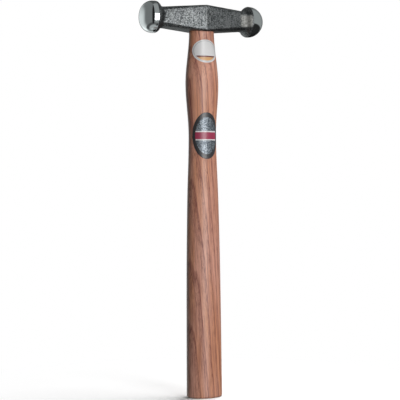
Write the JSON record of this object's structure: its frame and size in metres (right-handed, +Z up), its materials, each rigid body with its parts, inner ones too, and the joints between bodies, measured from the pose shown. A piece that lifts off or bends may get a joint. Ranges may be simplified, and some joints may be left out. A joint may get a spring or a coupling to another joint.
{
  "type": "double-faced embossing hammer",
  "caption": "Sheet-metal hammer with a forged steel head that has a polished dome at each end, wedged on an oval wooden handle with a waist and a swell.",
  "frame": {"origin": "centre of the handle's flat butt", "axes": "+Z up along the handle to the head, +X along the head towards its fuller dome, -Y the side that carries the labels"},
  "size_m": [0.1073, 0.0254, 0.3183],
  "materials": {
    "head_steel": "drop-forged and speckled grey body, mirror-polished domes",
    "lacquered_ash": "clear-lacquered ash, pinkish brown, straight grain",
    "wedge_wood": "raw sawn hardwood, end grain",
    "ring_steel": "ground bare steel",
    "label_paper": "semi-gloss coated paper, plain",
    "label_foil": "silver-foil-faced label, plain bands"
  },
  "bodies": {
    "root": {"head": "head_steel", "handle": "lacquered_ash", "wooden_wedge": "wedge_wood", "ring_wedge": "ring_steel", "paper_label": "label_paper", "foil_label": "label_foil"}
  },
  "joints": []
}
